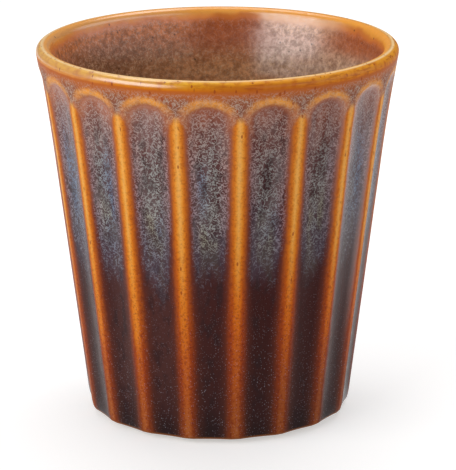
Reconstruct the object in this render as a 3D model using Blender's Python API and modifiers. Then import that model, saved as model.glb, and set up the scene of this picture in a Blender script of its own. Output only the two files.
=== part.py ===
"""Handleless latte cup in glazed stoneware, modelled in metres with +Z up.

The cup is a turned, tapering stoneware body with flutes pressed into its outside. An outer glaze covers the
flutes and wraps the lip, an inner glaze lines the hollow, and a disc of glaze lies under the base, inside
the unglazed foot ring. The origin is on the table, at the middle of the foot ring.

Every surface is worked out from the finished cup: a curve at depth 0 is the glazed surface that a hand
feels, and a deeper one lies that far inside it.
"""

import math

import bpy

# Overall sizes, over the glaze and over the ridges
CUP_HEIGHT = 0.089
RIM_DIAMETER = 0.085
BASE_DIAMETER = 0.0626

# Wall: thin at the lip, full below it, with a slight outward flare at the top
LIP_THICKNESS = 0.0034
WALL_THICKNESS = 0.0046
THICKENING_RUN = 0.012
FLARE_HEIGHT = 0.025
FLARE_REACH = 0.00065

# Floor and foot ring
FLOOR_THICKNESS = 0.0046
FLOOR_FILLET = 0.009
FOOT_INSET = 0.0048
FOOT_WIDTH = 0.0032
FOOT_HEIGHT = 0.0013
RECESS_DEPTH = 0.0022

# Bottom edge of the outside wall, which tucks in softly
BOTTOM_TUCK_HEIGHT = 0.003
BOTTOM_TUCK_INSET = 0.0004

# Flutes, whose depth runs out towards the bottom edge
FLUTE_COUNT = 18
FLUTE_TOP_DEPTH = 0.0014
FLUTE_LOW_DEPTH = 0.0009
FLUTE_EDGE_DEPTH = 0.0005
FLUTE_RUNOUT = 0.008
RIDGE_WIDTH = 0.0022
ARCH_DROP = 0.0049
ARCH_RISE = 0.0048
ARCH_RUNOUT = 0.007

# Glaze coats
GLAZE_THICKNESS = 0.0004
GLAZE_CLEARANCE = 0.0003
LIP_OVERLAP = 0.005

# Facets
COLUMNS_PER_FLUTE = 8
PLAIN_COLUMNS = 60
LIP_STEPS = 4
FILLET_STEPS = 3
THICKENING_STEPS = 2
TUCK_STEPS = 3
RUNOUT_SHARES = (0.12, 0.45, 1.0)
MERGE_DISTANCE = 1e-5
SMOOTH_ANGLE = math.radians(35)

# Places that follow from the sizes
LIP_RADIUS = LIP_THICKNESS / 2
LIP_CENTRE_HEIGHT = CUP_HEIGHT - LIP_RADIUS
LIP_CENTRE_RADIUS = RIM_DIAMETER / 2 - LIP_RADIUS
TAPER = (RIM_DIAMETER / 2 - FLARE_REACH - BASE_DIAMETER / 2) / (LIP_CENTRE_HEIGHT - FOOT_HEIGHT)
ARCH_TOP = CUP_HEIGHT - ARCH_DROP
ARCH_SPRING = ARCH_TOP - ARCH_RISE
FLOOR_HEIGHT = RECESS_DEPTH + FLOOR_THICKNESS
FOOT_OUTER_RADIUS = BASE_DIAMETER / 2 - FOOT_INSET
FOOT_INNER_RADIUS = FOOT_OUTER_RADIUS - FOOT_WIDTH
CLAY_DEPTH = GLAZE_THICKNESS + GLAZE_CLEARANCE
GLAZE_MEETING_HEIGHT = CUP_HEIGHT - LIP_OVERLAP
FLUTE_ANGLE = 2 * math.pi / FLUTE_COUNT

# Colour and roughness of each finish
FINISHES = {
    "bare_stoneware": ((0.62, 0.50, 0.38, 1.0), 0.85),
    "amber_brown_glaze": ((0.27, 0.11, 0.05, 1.0), 0.18),
    "speckled_tan_glaze": ((0.30, 0.19, 0.12, 1.0), 0.22),
    "dark_brown_glaze": ((0.12, 0.06, 0.04, 1.0), 0.22),
}


def spread(low, high, steps):
    """Values from low to high in equal steps, both ends included."""
    return [low + (high - low) * i / steps for i in range(steps + 1)]


def arc(centre, radius, start, end, steps):
    """Points of an arc in the (radius, height) plane, with angles measured up from outwards."""
    r, z = centre
    return [(r + radius * math.cos(a), z + radius * math.sin(a)) for a in spread(start, end, steps)]


def turned_radius(z):
    """Outside radius over the ridges: a straight taper, flared towards the lip and tucked in at the bottom."""
    flare = max(0.0, (z - LIP_CENTRE_HEIGHT + FLARE_HEIGHT) / FLARE_HEIGHT)
    tuck = min(1.0, max(0.0, 1 - (z - FOOT_HEIGHT) / BOTTOM_TUCK_HEIGHT))
    inset = BOTTOM_TUCK_INSET * (1 - math.sqrt(1 - tuck**2))
    return BASE_DIAMETER / 2 + TAPER * (z - FOOT_HEIGHT) + FLARE_REACH * flare**2 - inset


def wall_thickness(z):
    """Thickness from the ridges to the hollow, which eases from the lip into the full wall."""
    run = min(1.0, max(0.0, (LIP_CENTRE_HEIGHT - z) / THICKENING_RUN))
    return LIP_THICKNESS + (WALL_THICKNESS - LIP_THICKNESS) * math.sin(run * math.pi / 2)


def hollow_radius(z):
    return turned_radius(z) - wall_thickness(z)


def outside_curve(depth):
    """The outside wall, from the tops of the flutes down to the bottom edge."""
    heights = {ARCH_TOP, LIP_CENTRE_HEIGHT - FLARE_HEIGHT, FOOT_HEIGHT + FLUTE_RUNOUT}
    heights |= {ARCH_TOP - ARCH_RUNOUT * share for share in RUNOUT_SHARES}
    tuck_angles = spread(0.0, math.pi / 2, TUCK_STEPS)
    heights |= {FOOT_HEIGHT + BOTTOM_TUCK_HEIGHT * (1 - math.sin(angle)) for angle in tuck_angles}
    return [(turned_radius(z) - depth, z) for z in sorted(heights, reverse=True)]


def lip_curve(depth):
    """The round lip, from its inner side over the top to its outer side."""
    centre = (LIP_CENTRE_RADIUS, LIP_CENTRE_HEIGHT)
    return arc(centre, LIP_RADIUS - depth, math.pi, 0.0, LIP_STEPS)


def inner_wall_curve(depth, low, high):
    """The inner wall going up from low to high, with steps only where its thickness changes."""
    bends = spread(LIP_CENTRE_HEIGHT - THICKENING_RUN, LIP_CENTRE_HEIGHT, THICKENING_STEPS)
    heights = [low] + [z for z in bends if low < z < high] + [high]
    return [(hollow_radius(z) + depth, z) for z in heights]


def hollow_curve(depth, high):
    """The hollow, from the middle of its floor round the fillet and up the wall to a height."""
    lean = math.atan(TAPER)
    fillet_centre = (
        hollow_radius(FLOOR_HEIGHT) + FLOOR_FILLET * (TAPER - 1 / math.cos(lean)),
        FLOOR_HEIGHT + FLOOR_FILLET,
    )
    fillet = arc(fillet_centre, FLOOR_FILLET + depth, -math.pi / 2, -lean, FILLET_STEPS)
    fillet_top = fillet[-1][1]
    return [(0.0, FLOOR_HEIGHT - depth)] + fillet[:-1] + inner_wall_curve(depth, fillet_top, high)


def body_section():
    """Stoneware: up the hollow, over the lip, down the outside, then in across the foot to the axis."""
    hollow = hollow_curve(CLAY_DEPTH, LIP_CENTRE_HEIGHT)
    foot = [
        (FOOT_OUTER_RADIUS, FOOT_HEIGHT),
        (FOOT_OUTER_RADIUS, 0.0),
        (FOOT_INNER_RADIUS, 0.0),
        (FOOT_INNER_RADIUS, RECESS_DEPTH),
        (0.0, RECESS_DEPTH),
    ]
    return hollow[:-1] + lip_curve(CLAY_DEPTH) + outside_curve(CLAY_DEPTH) + foot


def outer_glaze_section():
    """A coat from a little way down the inner wall, over the lip and down the outside."""

    def side(depth):
        inner = inner_wall_curve(depth, GLAZE_MEETING_HEIGHT, LIP_CENTRE_HEIGHT)
        return inner[:-1] + lip_curve(depth) + outside_curve(depth)

    return side(0.0) + side(GLAZE_THICKNESS)[::-1]


def inner_glaze_section():
    """A coat over the floor and up the inner wall to where the outer glaze ends."""
    high = GLAZE_MEETING_HEIGHT - GLAZE_CLEARANCE
    return hollow_curve(0.0, high) + hollow_curve(GLAZE_THICKNESS, high)[::-1]


def underside_glaze_section():
    """A disc of glaze in the recess inside the foot ring."""
    edge = FOOT_INNER_RADIUS - GLAZE_CLEARANCE
    top = RECESS_DEPTH - GLAZE_CLEARANCE
    bottom = top - GLAZE_THICKNESS
    return [(0.0, top), (edge, top), (edge, bottom), (0.0, bottom)]


def column_place(angle, z):
    """Slides a column sideways so that one runs along each edge of a ridge.

    Returns the new angle, and how far it lies across the flute: 0 on a ridge, 1 at the flute's middle.
    """
    ridge = round(angle / FLUTE_ANGLE) * FLUTE_ANGLE
    half_flute = FLUTE_ANGLE / 2
    half_ridge = RIDGE_WIDTH / 2 / turned_radius(z)
    edge_column = 2 / COLUMNS_PER_FLUTE
    place = abs(angle - ridge) / half_flute
    across = max(0.0, (place - edge_column) / (1 - edge_column))
    slid = half_ridge * min(1.0, place / edge_column) + across * (half_flute - half_ridge)
    return ridge + math.copysign(slid, angle - ridge), across


def flute_depth(z):
    """Depth along the middle of a flute: it lessens down the wall and runs out towards the bottom edge."""
    up = (z - FOOT_HEIGHT) / (ARCH_TOP - FOOT_HEIGHT)
    full = FLUTE_LOW_DEPTH + (FLUTE_TOP_DEPTH - FLUTE_LOW_DEPTH) * up
    run = min(1.0, max(0.0, (z - FOOT_HEIGHT) / FLUTE_RUNOUT))
    return FLUTE_EDGE_DEPTH + (full - FLUTE_EDGE_DEPTH) * run * run * (3 - 2 * run)


def press_flutes(mesh):
    """Presses the flutes into the outside wall: shallow hollows between ridges, each ending in an arch."""
    for vertex in mesh.vertices:
        x, y, z = vertex.co
        radius = math.hypot(x, y)
        angle, across = column_place(math.atan2(y, x), z)
        depth = turned_radius(z) - radius
        on_wall = FOOT_HEIGHT - MERGE_DISTANCE < z < ARCH_TOP + MERGE_DISTANCE
        if on_wall and depth < wall_thickness(z) / 2:
            bow = 1 - (1 - across) ** 2
            arch = ARCH_SPRING + ARCH_RISE * math.sqrt(bow)
            down = (ARCH_TOP - z) / (ARCH_TOP - FOOT_HEIGHT)
            run = min(1.0, max(0.0, (ARCH_TOP - z) / ARCH_RUNOUT))
            z = arch - down * (arch - FOOT_HEIGHT)
            radius = turned_radius(z) - depth - flute_depth(z) * bow * math.sqrt(1 - (1 - run) ** 2)
        vertex.co = (radius * math.cos(angle), radius * math.sin(angle), z)
    mesh.update()


def finish(name):
    colour, roughness = FINISHES[name]
    material = bpy.data.materials.new(name)
    material.diffuse_color = colour
    material.use_nodes = True
    shader = material.node_tree.nodes["Principled BSDF"]
    shader.inputs["Base Color"].default_value = colour
    shader.inputs["Roughness"].default_value = roughness
    shader.inputs["Metallic"].default_value = 0.0
    return material


def turn(name, section, columns, material, collection):
    """Turns a section about the Z axis into a named object. A section clear of the axis is a closed ring."""
    edges = [(i, i + 1) for i in range(len(section) - 1)]
    if section[0][0] > 0:
        edges.append((len(section) - 1, 0))
    outline = bpy.data.meshes.new(name + "_section")
    outline.from_pydata([(r, 0.0, z) for r, z in section], edges, [])
    piece = bpy.data.objects.new(name, outline)
    collection.objects.link(piece)
    screw = piece.modifiers.new("turn", "SCREW")
    screw.axis = "Z"
    screw.angle = 2 * math.pi
    screw.steps = screw.render_steps = columns
    screw.use_merge_vertices = True
    screw.merge_threshold = MERGE_DISTANCE
    turned = piece.evaluated_get(bpy.context.evaluated_depsgraph_get())
    piece.data = bpy.data.meshes.new_from_object(turned)
    piece.modifiers.clear()
    piece.data.materials.append(material)
    return piece


def shade(piece):
    piece.data.shade_smooth()
    piece.data.set_sharp_from_angle(angle=SMOOTH_ANGLE)


def main():
    for left_over in list(bpy.data.objects):
        bpy.data.objects.remove(left_over)
    cup = bpy.data.collections.new("latte_cup")
    bpy.context.scene.collection.children.link(cup)
    fluted_columns = FLUTE_COUNT * COLUMNS_PER_FLUTE

    body = turn("stoneware_body", body_section(), fluted_columns, finish("bare_stoneware"), cup)
    coat = turn("outer_glaze", outer_glaze_section(), fluted_columns, finish("amber_brown_glaze"), cup)
    liner = turn("inner_glaze", inner_glaze_section(), PLAIN_COLUMNS, finish("speckled_tan_glaze"), cup)
    disc = turn("underside_glaze", underside_glaze_section(), PLAIN_COLUMNS, finish("dark_brown_glaze"), cup)

    for fluted in (body, coat):
        press_flutes(fluted.data)
    for piece in (body, coat, liner, disc):
        shade(piece)


main()
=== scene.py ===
"""Looks of the fluted stoneware latte cup: its glazes and bare clay, a soft studio light and the camera.

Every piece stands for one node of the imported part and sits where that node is, in metres with +Z up.
A section is drawn in the (radius, height) plane and turned about the Z axis, and Geometry Nodes then
press the flutes in.
"""

import math

import bmesh
import bpy
from mathutils import Matrix, Vector
from mathutils.geometry import interpolate_bezier


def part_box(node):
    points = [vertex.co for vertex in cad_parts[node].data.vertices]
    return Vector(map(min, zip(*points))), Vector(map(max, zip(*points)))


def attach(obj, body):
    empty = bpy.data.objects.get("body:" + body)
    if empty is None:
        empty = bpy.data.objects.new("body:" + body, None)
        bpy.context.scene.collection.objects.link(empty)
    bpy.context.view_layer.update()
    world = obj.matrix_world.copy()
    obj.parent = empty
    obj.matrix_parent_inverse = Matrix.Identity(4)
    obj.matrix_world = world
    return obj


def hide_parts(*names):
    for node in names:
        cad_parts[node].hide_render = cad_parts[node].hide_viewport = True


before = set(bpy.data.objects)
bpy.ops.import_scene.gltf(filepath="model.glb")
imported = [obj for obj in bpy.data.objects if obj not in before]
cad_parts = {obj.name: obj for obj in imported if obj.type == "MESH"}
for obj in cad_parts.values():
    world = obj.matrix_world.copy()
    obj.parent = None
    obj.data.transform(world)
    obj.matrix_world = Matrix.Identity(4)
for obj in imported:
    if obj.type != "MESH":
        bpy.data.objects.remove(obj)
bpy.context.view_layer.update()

# Overall sizes, from the frame
CUP_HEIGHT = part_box("outer_glaze")[1].z
RIM_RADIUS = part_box("outer_glaze")[1].x

# Sizes that the part has too
BASE_RADIUS = 0.0313
LIP_RADIUS = 0.0017
WALL_THICKNESS = 0.0046
THICKENING_RUN = 0.012
FLARE_HEIGHT = 0.025
FLARE_REACH = 0.00065
FLOOR_HEIGHT = 0.0068
FLOOR_FILLET = 0.009
BOTTOM_TUCK_HEIGHT = 0.003
BOTTOM_TUCK_INSET = 0.0004
FOOT_HEIGHT = 0.0013
FOOT_OUTER_RADIUS = 0.0265
FOOT_INNER_RADIUS = 0.0233
RECESS_DEPTH = 0.0022
FLUTE_COUNT = 18
FLUTE_TOP_DEPTH = 0.0014
FLUTE_LOW_DEPTH = 0.0009
FLUTE_EDGE_DEPTH = 0.0005
FLUTE_RUNOUT = 0.008
RIDGE_WIDTH = 0.0022
ARCH_DROP = 0.0049
ARCH_RISE = 0.0048
LIP_OVERLAP = 0.005

# Soft shapes and close seats that only the looks have
GLAZE_THICKNESS = 0.0005
CLAY_DEPTH = 0.00056
FOOT_GAP = 0.00005
INNER_LEAN = math.radians(16)
FOOT_EDGE_RADIUS = 0.0005
MENISCUS_HEIGHT = 0.0005
RIDGE_SOFTNESS = 0.15
UNEVENNESS = 0.00006
UNEVENNESS_SPREAD = 0.011

# Facets
COLUMNS_PER_FLUTE = 28
CLAY_COLUMNS_PER_FLUTE = 12
LINING_COLUMNS = 240
UNDERSIDE_COLUMNS = 120
ARCH_STEP = 0.0003
BACK_ARCH_STEP = 0.0015
CLAY_ARCH_STEP = 0.0006
WALL_STEP = 0.0012
BACK_STEP = 0.006
CLAY_STEP = 0.0048
CLAY_HOLLOW_STEP = 0.0024
LIP_STEPS = 20
BACK_LIP_STEPS = 5
CLAY_LIP_STEPS = 10
LIP_BEND_STEPS = 40
BACK_BEND_STEPS = 10
FILLET_STEPS = 12
EDGE_STEPS = 6
MERGE_DISTANCE = 1e-6
SHARP_ANGLE = math.radians(50)

# Places that follow from the sizes
LIP_CENTRE_HEIGHT = CUP_HEIGHT - LIP_RADIUS
TAPER = (RIM_RADIUS - FLARE_REACH - BASE_RADIUS) / (LIP_CENTRE_HEIGHT - FOOT_HEIGHT)
FLARE_START = LIP_CENTRE_HEIGHT - FLARE_HEIGHT
OUTER_LEAN = math.atan(TAPER + 2 * FLARE_REACH / FLARE_HEIGHT)
ARCH_TOP = CUP_HEIGHT - ARCH_DROP
ARCH_SPRING = ARCH_TOP - ARCH_RISE
GLAZE_MEETING_HEIGHT = CUP_HEIGHT - LIP_OVERLAP

# Photograph and camera, fitted to the cup's outline and ridges
IMAGE_HEIGHT_PIXELS = 470
FOCAL_PIXELS = 2726.4
SENSOR_WIDTH = 36.0
CAMERA_DISTANCE = 0.6252
CAMERA_HEIGHT = 0.2254
CAMERA_TURN = math.radians(2.985)
CAMERA_PITCH = 0.28566
CAMERA_YAW = 0.00377
CAMERA_ROLL = 0.0027
NEAREST_SEEN = 0.01

# Gloss and relief of the finishes
MILLIMETRES = 1000.0
OUTER_SHINE = {
    "Coat IOR": 2.2, "Coat Roughness": 0.26,
    "Specular IOR Level": 0.065, "Specular Tint": (1.0, 0.86, 0.82, 1.0),
}
LINING_SHINE = {"Coat IOR": 1.85, "Coat Roughness": 0.25, "Specular IOR Level": 0.1}
CLAY_SHINE = {"Specular IOR Level": 0.3}
GLAZE_WAVES = 0.0004
UNDERSIDE_WAVES = 0.00004
CLAY_GRIT = 0.00008

# Patterns and spans of the glazes, in millimetres or shares of a spacing
MIDDLE = (0.5, 0.5, 0.5)
THREAD_SHIFTS = (0.0, 31.0, 67.0)
THREAD_SWIRLS = 1.4
THREAD_SCATTER = 0.85
THREAD_REACH = (0.49, 0.7)
HOLLOW_TONES_DEPTH = 30.0
LIP_TONES_DEPTH = 2.5
RIDGE_WIDENING = (16.0, 60.0)
INNER_SIDE_RADII = (41.0, 40.4)
INNER_SIDE_HEIGHTS = (82.0, 83.0)

# Studio: each softbox has its name, place, target, width, height and brightness
WHITE = (1.0, 1.0, 1.0, 1.0)
PALE_GREY = (0.75, 0.75, 0.75, 1.0)
FLOOR_SIZE = 6.0
FLOOR_GLOW = 0.45
SKY_STRENGTH = 0.24
SOFTBOXES = (
    ("overhead_softbox", (0.0, 0.35, 0.95), (0.0, 0.1, 0.08), 1.0, 0.6, 2.9),
    ("left_softbox", (-0.79, -0.62, 0.50), (0.0, 0.0, 0.08), 1.0, 0.75, 3.35),
    ("right_softbox", (0.86, -0.28, 0.32), (0.0, 0.0, 0.08), 2.0, 0.6, 1.1),
)


# Section curves, as lists of (radius, height)


def spread(low, high, steps):
    """Values from low to high in equal steps, both ends included."""
    return [low + (high - low) * i / steps for i in range(steps + 1)]


def paces(low, high, pace):
    """Values from low to high in steps of about one pace."""
    return spread(low, high, max(1, round(abs(high - low) / pace)))


def arc(centre, radius, start, end, steps):
    """Points of an arc, with angles measured up from outwards."""
    r, z = centre
    return [(r + radius * math.cos(a), z + radius * math.sin(a)) for a in spread(start, end, steps)]


def turned_radius(z):
    """Outside radius over the ridges: a straight taper, flared at the lip and tucked in at the bottom."""
    flare = max(0.0, (z - FLARE_START) / FLARE_HEIGHT)
    tuck = min(1.0, max(0.0, 1 - (z - FOOT_HEIGHT) / BOTTOM_TUCK_HEIGHT))
    inset = BOTTOM_TUCK_INSET * (1 - math.sqrt(1 - tuck**2))
    return BASE_RADIUS + TAPER * (z - FOOT_HEIGHT) + FLARE_REACH * flare**2 - inset


def lip_centre():
    """Centre of the lip's round edge, set so that the outside wall runs into it without a kink."""
    drop = LIP_RADIUS * math.sin(OUTER_LEAN)
    return turned_radius(LIP_CENTRE_HEIGHT - drop) - LIP_RADIUS * math.cos(OUTER_LEAN), LIP_CENTRE_HEIGHT


def lip_curve(depth, steps):
    """The lip, from its inner side over the top to its outer side."""
    return arc(lip_centre(), LIP_RADIUS - depth, math.pi - INNER_LEAN, -OUTER_LEAN, steps)


def outside_curve(depth, arch_step, wall_step):
    """The outside wall, down from the lip to its tucked bottom edge, with close rows at the arches."""
    top = LIP_CENTRE_HEIGHT - LIP_RADIUS * math.sin(OUTER_LEAN)
    arches_end = ARCH_SPRING - ARCH_RISE / 3
    tuck_top = FOOT_HEIGHT + BOTTOM_TUCK_HEIGHT
    heights = paces(top, arches_end, arch_step)[1:] + paces(arches_end, tuck_top, wall_step)[1:]
    turns = spread(0.0, math.pi / 2, EDGE_STEPS)[1:]
    heights += [tuck_top - BOTTOM_TUCK_HEIGHT * math.sin(a) for a in turns]
    return [(turned_radius(z) - depth, z) for z in heights]


def hollow_radius(z):
    """Radius of the straight inner wall, below the stretch that eases into the lip."""
    return turned_radius(FLARE_START) - WALL_THICKNESS + TAPER * (z - FLARE_START)


def inner_lip_curve(depth, steps):
    """The inner wall going up from where it is straight into the lip, as one smooth bend."""
    low = LIP_CENTRE_HEIGHT - THICKENING_RUN
    start = Vector((hollow_radius(low) + depth, low))
    end = Vector(lip_curve(depth, LIP_STEPS)[0])
    reach = (end - start).length / 3
    start_handle = start + Vector((TAPER, 1.0)).normalized() * reach
    end_handle = end - Vector((math.sin(INNER_LEAN), math.cos(INNER_LEAN))) * reach
    return [tuple(p) for p in interpolate_bezier(start, start_handle, end_handle, end, steps + 1)]


def hollow_curve(depth, pace):
    """The hollow, from the middle of its floor round the fillet and up to where the lip's bend starts."""
    lean = math.atan(TAPER)
    fillet_centre = (
        hollow_radius(FLOOR_HEIGHT) + FLOOR_FILLET * (TAPER - 1 / math.cos(lean)),
        FLOOR_HEIGHT + FLOOR_FILLET,
    )
    fillet = arc(fillet_centre, FLOOR_FILLET + depth, -math.pi / 2, -lean, FILLET_STEPS)
    floor = [(r, FLOOR_HEIGHT - depth) for r in paces(0.0, fillet_centre[0], pace)[:-1]]
    heights = paces(fillet[-1][1], LIP_CENTRE_HEIGHT - THICKENING_RUN, pace)[1:]
    return floor + fillet + [(hollow_radius(z) + depth, z) for z in heights]


def split_at_meeting(curve):
    """Parts a rising curve at the height where the two glazes meet, which becomes a point of both parts."""
    below = [p for p in curve if p[1] < GLAZE_MEETING_HEIGHT]
    above = [p for p in curve if p[1] > GLAZE_MEETING_HEIGHT]
    (r0, z0), (r1, z1) = below[-1], above[0]
    share = (GLAZE_MEETING_HEIGHT - z0) / (z1 - z0)
    meeting = (r0 + (r1 - r0) * share, GLAZE_MEETING_HEIGHT)
    return below + [meeting], [meeting] + above


def outer_glaze_section():
    """The outer coat: its face from inside the lip to the bottom edge, then its back to the start."""
    face = split_at_meeting(inner_lip_curve(0.0, LIP_BEND_STEPS))[1][:-1]
    face += lip_curve(0.0, LIP_STEPS) + outside_curve(0.0, ARCH_STEP, WALL_STEP)
    back = split_at_meeting(inner_lip_curve(GLAZE_THICKNESS, BACK_BEND_STEPS))[1][:-1]
    back += lip_curve(GLAZE_THICKNESS, BACK_LIP_STEPS)
    back += outside_curve(GLAZE_THICKNESS, BACK_ARCH_STEP, BACK_STEP)
    return face + back[::-1]


def inner_glaze_section():
    """The lining: its face up the hollow to where the outer coat starts, then its back to the axis."""
    face = hollow_curve(0.0, WALL_STEP)
    face += split_at_meeting(inner_lip_curve(0.0, LIP_BEND_STEPS))[0][1:]
    back = hollow_curve(GLAZE_THICKNESS, BACK_STEP)
    back += split_at_meeting(inner_lip_curve(GLAZE_THICKNESS, BACK_BEND_STEPS))[0][1:]
    return face + back[::-1]


def foot_curve():
    """The foot ring with rounded edges, from the underside of the wall to the axis."""
    outer = (FOOT_OUTER_RADIUS - FOOT_EDGE_RADIUS, FOOT_EDGE_RADIUS)
    inner = (FOOT_INNER_RADIUS + FOOT_EDGE_RADIUS, FOOT_EDGE_RADIUS)
    hollow_corner = (FOOT_OUTER_RADIUS + FOOT_EDGE_RADIUS, FOOT_HEIGHT - FOOT_EDGE_RADIUS)
    points = arc(hollow_corner, FOOT_EDGE_RADIUS, math.pi / 2, math.pi, EDGE_STEPS)
    points += arc(outer, FOOT_EDGE_RADIUS, 0.0, -math.pi / 2, EDGE_STEPS)
    points += arc(inner, FOOT_EDGE_RADIUS, -math.pi / 2, -math.pi, EDGE_STEPS)
    return points + [(FOOT_INNER_RADIUS, RECESS_DEPTH), (0.0, RECESS_DEPTH)]


def body_section():
    """The clay: up the hollow, over the lip, down the outside, then in across the foot to the axis."""
    hollow = hollow_curve(CLAY_DEPTH, CLAY_HOLLOW_STEP)
    hollow += inner_lip_curve(CLAY_DEPTH, BACK_BEND_STEPS)[1:-1]
    wall = lip_curve(CLAY_DEPTH, CLAY_LIP_STEPS) + outside_curve(CLAY_DEPTH, CLAY_ARCH_STEP, CLAY_STEP)
    return hollow + wall + foot_curve()


def underside_glaze_section():
    """The pool of glaze inside the foot ring, with a meniscus that climbs the ring."""
    edge = FOOT_INNER_RADIUS - FOOT_GAP
    top = RECESS_DEPTH - FOOT_GAP
    bottom = top - GLAZE_THICKNESS
    meniscus_centre = (edge - MENISCUS_HEIGHT, bottom - MENISCUS_HEIGHT)
    face = [(r, bottom) for r in paces(0.0, meniscus_centre[0], WALL_STEP)[:-1]]
    face += arc(meniscus_centre, MENISCUS_HEIGHT, math.pi / 2, 0.0, EDGE_STEPS)
    return face + [(edge, top), (0.0, top)]


def outside_points(section):
    """The points of a section that lie on the outside wall, on its face or its back."""

    def on_wall(r, z):
        return r > turned_radius(z) - WALL_THICKNESS / 2 and z < LIP_CENTRE_HEIGHT

    return [i for i, (r, z) in enumerate(section) if on_wall(r, z)]


# Node trees


class Wiring:
    """Adds and links the nodes of one tree, so that a formula in code reads as a formula."""

    def __init__(self, tree):
        self.tree = tree

    def sockets(self, direction, **kinds):
        """Names the tree's own inputs or outputs, and gives the node that holds them."""
        for name, kind in kinds.items():
            self.tree.interface.new_socket(name=name, in_out=direction, socket_type="NodeSocket" + kind)
        return self.add("NodeGroupInput" if direction == "INPUT" else "NodeGroupOutput")

    def feed(self, socket, value):
        """Links the socket to another, or sets a constant on it."""
        if isinstance(value, bpy.types.NodeSocket):
            self.tree.links.new(value, socket)
        else:
            socket.default_value = value

    def feed_all(self, node, values):
        """Feeds a node's inputs by name."""
        for name, value in values.items():
            self.feed(node.inputs[name], value)

    def add(self, kind, feeds=None, **settings):
        """A new node with its settings and with values for its inputs."""
        node = self.tree.nodes.new(kind)
        for name, value in settings.items():
            setattr(node, name, value)
        self.feed_all(node, feeds or {})
        return node

    def calc(self, operation, *values):
        """A sum on numbers, named as in the Math node."""
        node = self.add("ShaderNodeMath", operation=operation)
        for socket, value in zip(node.inputs, values):
            self.feed(socket, value)
        return node.outputs[0]

    def chain(self, operation, result, *others):
        """The same sum on one value after another."""
        for other in others:
            result = self.calc(operation, result, other)
        return result

    def times(self, *values):
        return self.chain("MULTIPLY", *values)

    def plus(self, *values):
        return self.chain("ADD", *values)

    def most(self, *values):
        return self.chain("MAXIMUM", *values)

    def minus(self, value, less):
        return self.calc("SUBTRACT", value, less)

    def over(self, value, divisor):
        return self.calc("DIVIDE", value, divisor)

    def off_axis(self, x, y):
        """The distance from the cup's axis."""
        return self.calc("SQRT", self.plus(self.times(x, x), self.times(y, y)))

    def vector(self, operation, first, second=(0.0, 0.0, 0.0)):
        """A sum on vectors, whose second value is a factor when the first is scaled."""
        node = self.add("ShaderNodeVectorMath", operation=operation)
        self.feed(node.inputs[0], first)
        self.feed(node.inputs["Scale" if operation == "SCALE" else 1], second)
        return node.outputs["Value" if operation == "DOT_PRODUCT" else "Vector"]

    def ease(self, value, low, high, start=0.0, end=1.0):
        """Goes smoothly from start to end as the value goes from low to high."""
        feeds = {"Value": value, "From Min": low, "From Max": high, "To Min": start, "To Max": end}
        return self.add("ShaderNodeMapRange", feeds, interpolation_type="SMOOTHSTEP").outputs[0]

    def band(self, value, rise, fall):
        """Rises smoothly from 0 to 1 over one span of the value and falls back to 0 over a later one."""
        return self.times(self.ease(value, *rise), self.ease(value, *reversed(fall)))

    def noise(self, vector, size, detail=2.0, roughness=0.5):
        """Cloudy noise from 0 to 1, with features of about a size."""
        feeds = {"Vector": vector, "Scale": self.over(1.0, size), "Detail": detail, "Roughness": roughness}
        return self.add("ShaderNodeTexNoise", feeds).outputs["Fac"]

    def mix(self, share, first, second, blend="MIX"):
        """A colour that goes from the first to the second with the share."""
        node = self.add("ShaderNodeMix", data_type="RGBA", blend_type=blend, clamp_factor=True)
        for index, value in ((0, share), (6, first), (7, second)):
            self.feed(node.inputs[index], value)
        return node.outputs[2]

    def ramp(self, value, stops):
        """A colour read off a row of (place, colour) stops."""
        node = self.add("ShaderNodeValToRGB", {"Fac": value})
        elements = node.color_ramp.elements
        while len(elements) < len(stops):
            elements.new(1.0)
        for element, (place, shade) in zip(elements, stops):
            element.position = place
            element.color = shade
        return node.outputs["Color"]


def colour(red, green, blue):
    """A colour written as it shows on a screen, from 0 to 255, made linear."""

    def linear(level):
        level /= 255
        return level / 12.92 if level <= 0.04045 else ((level + 0.055) / 1.055) ** 2.4

    return linear(red), linear(green), linear(blue), 1.0


# Flutes

FLUTE_SIZES = {
    "Flute Count": float(FLUTE_COUNT), "Ridge Width": RIDGE_WIDTH, "Top Depth": FLUTE_TOP_DEPTH,
    "Low Depth": FLUTE_LOW_DEPTH, "Edge Depth": FLUTE_EDGE_DEPTH, "Runout": FLUTE_RUNOUT,
    "Arch Top": ARCH_TOP, "Arch Spring": ARCH_SPRING, "Foot Height": FOOT_HEIGHT,
    "Ridge Softness": RIDGE_SOFTNESS, "Unevenness": UNEVENNESS,
}


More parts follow.
